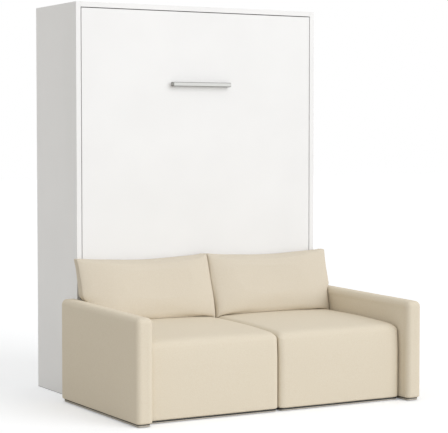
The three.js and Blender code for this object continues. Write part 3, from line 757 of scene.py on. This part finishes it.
def upholster_pair(name, upholster):
    """Makes the left and the right block of a pair, and stitches both."""
    lines = [line for word, side in sides for line in upholster(word, side)]
    grow(name, stitches, stitch_sizes, *joined_lines(lines), "root", "upholstery")


print("stitches every", stitch_sizes["Pitch"], "metres")

# %% [markdown]
# The arms are slabs of firm foam. They are a little higher at the back, softly rounded at every edge, and tighter
# under the bottom edge. A box with a bevel would do, but the rows of vertices also carry the slope and the crown.

# %% Sofa arms
arm_rounding = 0.028
arm_under_rounding = 0.012
arm_rise = 0.008
arm_crown = 0.003
arm_bulge = 0.002
arm_edge_power = 8
foam_step = 0.012


def upholster_arm(word, side):
    low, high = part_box(f"arm_{word}")
    top = high.z - arm_rise - arm_crown
    middle, half = (low + high) / 2, (high - low) / 2

    def form(x, y, z):
        across = (x - middle.x) / half.x
        along = (y - middle.y) / half.y
        height = (z - low.z) / (top - low.z)
        z += height * (arm_rise * along + arm_crown * (1 - across ** 2))
        outside = np.clip(across * side, 0, 1) ** arm_edge_power
        x += side * arm_bulge * outside * (1 - along ** 2) * (1 - (2 * height - 1) ** 2)

    block = foam_block(
        f"arm_cover_{word}", low, (high.x, high.y, top), arm_rounding, arm_rounding, arm_under_rounding, arm_rounding,
        foam_step, form, beige_cloth)
    make_uneven(block["piece"], height=0.0006, wave=0.11, seed=1 + side)
    inner = 0 if side > 0 else len(block["rows"][0]) - 1
    return sew(block, [inner], f"arm_{word}")


upholster_pair("arm_stitching", upholster_arm)

# %% [markdown]
# Each seat is one thick block. Its top is highest in the middle and flows over the front edge in one wide curve, and
# the front leans back a little towards its top. Cloth sags slightly at the sides of the front, so the front face is
# fullest in its middle. A narrow gap beside each block shows as a dark line.

# %% Seats
seat_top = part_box("cushion_left")[0].z - 0.0005
seat_gap = 0.0035
seat_side_rounding = 0.034
seat_rounding = 0.022
seat_top_rounding = 0.03
seat_under_rounding = 0.01
seat_crown = 0.01
seat_front_drop = 0.02
seat_front_turn = 0.016
seat_turn_depth = 0.07
seat_front_bulge = 0.006
seat_front_lean = 0.008
seat_flat_depth = 0.245
seat_fall_power = 2.4
seat_curve_power = 2.5
seat_crown_loss = 0.6


def eased(value, start=0, run=1):
    """Goes smoothly from 0 to 1 as a value goes from the start to the end of its run."""
    share = np.clip((value - start) / run, 0, 1)
    return share * share * (3 - 2 * share)


def seat_rise(across, behind, depth):
    """How far the top of a seat stands above its level back edge, from its crown and its fall to the front."""
    past = np.clip((behind - seat_flat_depth) / (depth - seat_flat_depth), 0, 1) ** seat_fall_power
    turn = np.clip((behind - depth + seat_turn_depth) / seat_turn_depth, 0, 1) ** seat_curve_power
    fall = seat_front_drop * past + seat_front_turn * turn
    return seat_crown * (1 - np.abs(across) ** seat_curve_power) * (1 - seat_crown_loss * past) - fall


def upholster_seat(word, side):
    low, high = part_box(f"seat_{word}")
    low.x, high.x = low.x + seat_gap, high.x - seat_gap
    middle, half = (low + high) / 2, (high - low) / 2
    depth, height = high.y - low.y, seat_top - low.z

    def form(x, y, z):
        across = np.clip((x - middle.x) / half.x, -1, 1)
        behind = high.y - y
        up = (z - low.z) / height
        front = eased(behind / depth, start=0.85, run=0.15)
        full = (1 - across ** 2) * (1 - (2 * up - 1) ** 2)
        z += eased(up, start=0.8, run=0.2) * seat_rise(across, behind, depth)
        y += front * (seat_front_bulge * (1 - full) + seat_front_lean * eased(up, start=0.6, run=0.4))

    block = foam_block(
        f"seat_cover_{word}", low, (high.x, high.y, seat_top), seat_side_rounding, seat_rounding, seat_under_rounding,
        seat_top_rounding, foam_step, form, beige_cloth)
    make_uneven(block["piece"], height=0.0007, wave=0.16, seed=4 + side)
    return sew(block, [0, len(block["rows"][0]) - 1], f"seat_{word}")


upholster_pair("seat_stitching", upholster_seat)

# %% [markdown]
# Under each block is a low black plinth band, set back from the cloth. It hides the feet and the board. Its black top
# is partly the sofa's dark base and partly painted shade: it is the thin dark line of shadow that makes the sofa seem
# to float just above the floor. Its lower part is a grey strip painted the tone of the shaded floor, so only the top
# shows dark. Two outlines with round corners, one inside the other, make a closed ring.

# %% Plinth bands
band_inset = 0.012
band_corner = 0.016
band_thickness = 0.003
band_low, band_high = 0.003, 0.0156
band_edge = 0.0006
painted_floor_shade_top_of = {"arm": 0.0115, "seat": 0.0085}


def band_finish(name, painted_floor_shade_top):
    """Painted shade: black above, for the shadow gap under the sofa, over a grey strip in the tone of the shaded floor.
    """
    finish, shader, place = start_finish(name, "2a2928", Roughness=0.7)
    # Painted shade: grey below the split height for the shaded floor, black above it for the shadow gap.
    two_tone(shader, maths("GREATER_THAN", height_of(place), painted_floor_shade_top), colour("b9b3a8"), colour("2a2928"))
    wear(shader, grain(place, per_metre=900), smooth=0.62, rough=0.85)
    return finish


def round_outline(low, high, inset, corner, height, steps=7):
    """The points of a rectangle with round corners, seen from above, against the clock."""
    points = []
    for number, (x, y) in enumerate(((1, 1), (-1, 1), (-1, -1), (1, -1))):
        centre = [(high[k] if way > 0 else low[k]) - way * (inset + corner) for k, way in enumerate((x, y))]
        for turn in np.linspace(number, number + 1, steps) * math.pi / 2:
            points.append((centre[0] + corner * math.cos(turn), centre[1] + corner * math.sin(turn), height))
    return points


def plinth_band(node, finish):
    low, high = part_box(node)
    outer = (band_inset, band_corner)
    inner = (band_inset + band_thickness, band_corner - band_thickness)
    levels = ((outer, band_low), (outer, band_high), (inner, band_high), (inner, band_low))
    rings = [round_outline(low, high, *edge, height) for edge, height in levels]
    count = len(rings[0])
    faces = [(a * count + i, a * count + (i + 1) % count, b * count + (i + 1) % count, b * count + i)
             for a, b in ((0, 1), (1, 2), (2, 3), (3, 0)) for i in range(count)]
    mesh = bpy.data.meshes.new(f"plinth_{node}")
    mesh.from_pydata([point for ring in rings for point in ring], [], faces)
    mesh.materials.append(finish)
    piece = put_in_scene(f"plinth_{node}", mesh)
    soften_edges(piece, band_edge)
    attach(piece, "root")


# Painted shade: each band's grey strip, up to this height, stands for the shaded floor under the sofa.
for block, painted_floor_shade_top in painted_floor_shade_top_of.items():
    painted_shade_band = band_finish(f"{block}_band", painted_floor_shade_top)
    for word, _ in sides:
        plinth_band(f"{block}_{word}", painted_shade_band)
print("plinth bands with felt up to", painted_floor_shade_top_of)

# %% [markdown]
# The back cushions are soft wedges of fibre. Their front panel slopes back over a hand's width or more towards the
# ends and the bottom, and curves to the seam like a quarter of an ellipse. The simulation then fills the wedge, which
# looks softer than a swelling from a formula. Above the arms a cushion has room to swell outwards, and where it meets
# the seat, the door, an arm or the other cushion it lies flat against it.

# %% Back cushions
cushion_bottom_depth = 0.156
cushion_top_depth = 0.098
cushion_bottom_back = 0.084
cushion_top_back = 0.008
cushion_top_dip = 0.019
cushion_rounding = 0.014
cushion_under_rounding = 0.008
cushion_step = 0.009
cushion_pressure = 1.1
cushion_swell = 0.012
cushion_wing = 0.0215
cushion_ear = 0.009
cushion_seam_depth = 0.002
cushion_seam_width = 0.006
cushion_gap = 0.001
wing_power, dip_power, tip_power, fit_power = 6, 1.5, 8, 3
tip_rise = 0.003
valley_room = 0.009
outer_turn, outer_share = 0.045, 0.65
inner_turn, inner_share = 0.04, 0.72
top_turn, top_share = 0.03, 0.6
under_turn, under_share = 0.035, 0.68
back_turn, back_share = 0.03, 0.85
outer_slope, outer_end = 0.17, 0.33
inner_slope, inner_end, inner_end_gain = 0.15, 0.68, 0.1
under_slope, under_end = 0.13, 0.57
door_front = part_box("door_panel")[0].y
arm_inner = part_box("arm_right")[0].x
arm_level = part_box("arm_right")[1].z


def curved(room, width, share):
    """How full a panel is at that distance from its seam."""
    short = np.clip(1 - room / width, 0, 1)
    return share + (1 - share) * np.sqrt(1 - short ** 2)


def sloped(room, width, end):
    """How full a panel is at that distance from its seam, where it slopes back slowly to its end."""
    return 1 - (1 - end) * np.clip(1 - room / width, 0, 1) ** 2


def valley(room):
    """How far the rounded side of a seat has fallen at that distance from its side."""
    short = np.clip(seat_side_rounding - room, 0, seat_side_rounding)
    return seat_top_rounding * (1 - np.sqrt(1 - (short / seat_side_rounding) ** 2))


def keep_clear(piece, side, inner, seat_low, seat_high):
    """Flattens a cushion where it meets the other cushion, the door, the arm and the seat."""
    seat_middle, seat_half = (seat_low + seat_high) / 2, (seat_high - seat_low) / 2
    points = points_of(piece)
    x, y, z = points.T
    climb = np.clip(z - arm_level + arm_rounding, 0, arm_rounding)
    arm_face = arm_inner + arm_rounding - np.sqrt(arm_rounding ** 2 - climb ** 2)
    outer = np.minimum(arm_face, arm_inner + cushion_wing + cushion_ear + 2 * cushion_gap) - cushion_gap
    x[:] = side * np.clip(side * x, inner, outer)
    y[:] = np.minimum(y, door_front - cushion_gap)
    across = np.clip((x - seat_middle) / seat_half, -1, 1)
    seat = seat_top + seat_rise(across, 0, 1) - valley(seat_half * (1 - np.abs(across)))
    z[:] = np.maximum(z, seat + cushion_gap)
    place_points(piece, points)


def upholster_cushion(word, side):
    low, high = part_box(f"cushion_{word}")
    middle, half = (low + high) / 2, (high - low) / 2
    height = high.z - low.z
    thick = cushion_bottom_depth / 2

    def form(x, y, z):
        across = np.clip((x - middle.x) / half.x, -1, 1)
        up = np.clip((z - low.z) / height, 0, 1)
        room = half.x * (1 - np.abs(across))
        inner_thick = inner_end + inner_end_gain * (1 - up)
        inner_fill = curved(room, inner_turn, inner_share) * sloped(room, inner_slope, inner_thick)
        outer_fill = curved(room, outer_turn, outer_share) * sloped(room, outer_slope, outer_end)
        fill = np.where(side * across > 0, outer_fill, inner_fill) * sloped(height * up, under_slope, under_end)
        fill *= curved(height * (1 - up), top_turn, top_share) * curved(height * up, under_turn, under_share)
        back_fill = curved(room, back_turn, back_share) * curved(height * (1 - up), back_turn, back_share)
        fill = np.where(y > 0, back_fill, fill)
        depth = cushion_bottom_depth + (cushion_top_depth - cushion_bottom_depth) * up
        back = cushion_bottom_back + (cushion_top_back - cushion_bottom_back) * up
        y[:] = door_front - back - depth / 2 + y / thick * fill * depth / 2
        over_arm = eased(z - arm_level, start=-0.02, run=0.045)
        wing = cushion_wing * over_arm + cushion_ear * up ** wing_power
        x += side * wing * np.clip(side * across, 0, 1) ** wing_power
        dip = cushion_top_dip * (1 - np.abs(across) ** dip_power) - tip_rise * np.abs(across) ** tip_power
        z -= dip * eased(up)
        fit = seat_rise(across, 0, 1) - valley(np.maximum(room, valley_room))
        z += fit * (1 - up) ** fit_power

    block = foam_block(
        f"cushion_cover_{word}", (low.x, -thick, low.z), (high.x, thick, high.z), cushion_rounding, cushion_rounding,
        cushion_under_rounding, cushion_rounding, cushion_step, form, cushion_cloth)
    piece = block["piece"]
    seam = ring_of(block, len(block["rows"][1]) // 2)
    swelling = stuff(piece, [block["numbers"][cell] for cell in seam], cushion_pressure, cushion_swell)
    make_uneven(piece, height=0.0012, wave=0.13, seed=8 + side)
    draw_in(block, path_of(block, seam), cushion_seam_depth, cushion_seam_width)
    keep_clear(piece, side, min(abs(low.x), abs(high.x)), *[corner.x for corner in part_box(f"seat_{word}")])
    dress(block, f"cushion_{word}", f"back_cushion_{word}")
    print(piece.name, "swelled by", round(swelling, 4))
    sizes = {"Radius": 0.0014, "Spacing": 0.008, "Finish": cushion_cloth}
    lines = joined_lines([path_of(block, seam)], True)
    grow(f"cushion_welt_{word}", welts, sizes, *lines, f"back_cushion_{word}", "upholstery")


for word, side in sides:
    upholster_cushion(word, side)

# %% [markdown]
# The mattress is only seen when the bed is down. Its top is quilted in diamonds: the stitching pulls the ticking
# down along crossing lines, and the filling swells between them. Two crossing waves give that shape. A tape covers
# the seam round the top and the bottom edge, and two sewn lines run round the border.

# %% Mattress
mattress_rounding = 0.028
mattress_step = 0.0105
mattress_crown = 0.005
quilt_pitch = 0.135
quilt_depth = 0.009
quilt_margin = 0.035
quilt_fade = 0.05
quilt_face = 0.98
tape_sizes = {"Radius": 0.0045, "Spacing": 0.02, "Finish": ticking_tape}
tape_layer = 2
border_line_depth = 0.003
border_line_width = 0.008


def upholster_mattress():
    low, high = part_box("mattress")
    middle, half = (low + high) / 2, (high - low) / 2

    def form(x, y, z):
        across = (x - middle.x) / half.x
        along = (z - middle.z) / half.z
        through = (y - middle.y) / half.y
        edge = np.minimum(half.x - np.abs(x - middle.x), half.z - np.abs(z - middle.z))
        waves = [np.sin(math.pi * (x + way * z) / quilt_pitch) for way in (-1, 1)]
        puff = np.sqrt(np.abs(waves[0] * waves[1]))
        swell = mattress_crown * ((1 - across ** 2) * (1 - along ** 2) - 1)
        quilt = quilt_depth * (1 - puff) * eased(edge, quilt_margin, quilt_fade)
        y += np.sign(through) * swell - quilt * (through > quilt_face)

    block = foam_block("mattress_cover", low, high, *[mattress_rounding] * 4, mattress_step, form, ticking)
    layers = len(block["rows"][1])
    for layer in (layers * 2 // 5, layers * 3 // 5):
        draw_in(block, path_of(block, ring_of(block, layer)), border_line_depth, border_line_width)
    dress(block, "mattress", "bed")
    return [path_of(block, ring_of(block, layer)) for layer in (tape_layer, layers - 1 - tape_layer)]


grow("mattress_tape", welts, tape_sizes, *joined_lines(upholster_mattress(), True), "bed", "mattress_ticking")

# %% [markdown]
# Screws hold each steel plate to its board or tube. Their places come from the corners of each plate in the packed
# model. The bed's plates carry pins, so their boxes don't show where their faces are, and that distance is given. The
# heads are sunk until they stand less than a millimetre proud, so the door passes them when the bed comes down.

# %% Screws
screw_sizes = {"Radius": 0.0048, "Height": 0.0007, "Finish": zinc_screw}
screw_inset = 0.012
plate_thickness = 0.003
bracket_shares = (0.22, 0.78)
bracket_top_inset = 0.02
edge_inset, side_inset = 0.014, 0.016
bed_plate_face = 0.704
corners = ((-1, -1), (-1, 1), (1, -1), (1, 1))


def turn_screws():
    """Places every screw with the way that its head faces, and makes one piece for the cabinet and one for the bed."""
    fixed, moving = [], []
    for word, side in sides:
        panel_face = abs(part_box(f"side_panel_{word}")[0 if side > 0 else 1].x)
        for node in (f"pivot_plate_{word}", f"strut_bracket_{word}"):
            low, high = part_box(node)
            middle, reach = (low + high) / 2, (high - low) / 2 - Vector((0, screw_inset, screw_inset))
            for y, z in corners:
                place = (side * (panel_face - plate_thickness), middle.y + y * reach.y, middle.z + z * reach.z)
                fixed.append((place, (-side, 0, 0)))
        low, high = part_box(f"wall_bracket_{word}")
        for share in bracket_shares:
            x = low.x + share * (high.x - low.x)
            fixed.append(((x, low.y + bracket_top_inset, high.z - plate_thickness), (0, 0, -1)))
            fixed.append(((x, high.y - plate_thickness, low.z + edge_inset), (0, -1, 0)))
        for node in (f"bed_plate_{word}", f"arch_plate_{word}"):
            low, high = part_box(node)
            for z in (low.z + edge_inset, high.z - edge_inset):
                moving.append(((side * bed_plate_face, low.y + side_inset, z), (side, 0, 0)))
    for name, heads, body in (("cabinet_screws", fixed, "root"), ("bed_screws", moving, "bed")):
        places, ways = zip(*heads)
        grow(name, screws, screw_sizes, places, [], body, "grey_steel", ways)


turn_screws()
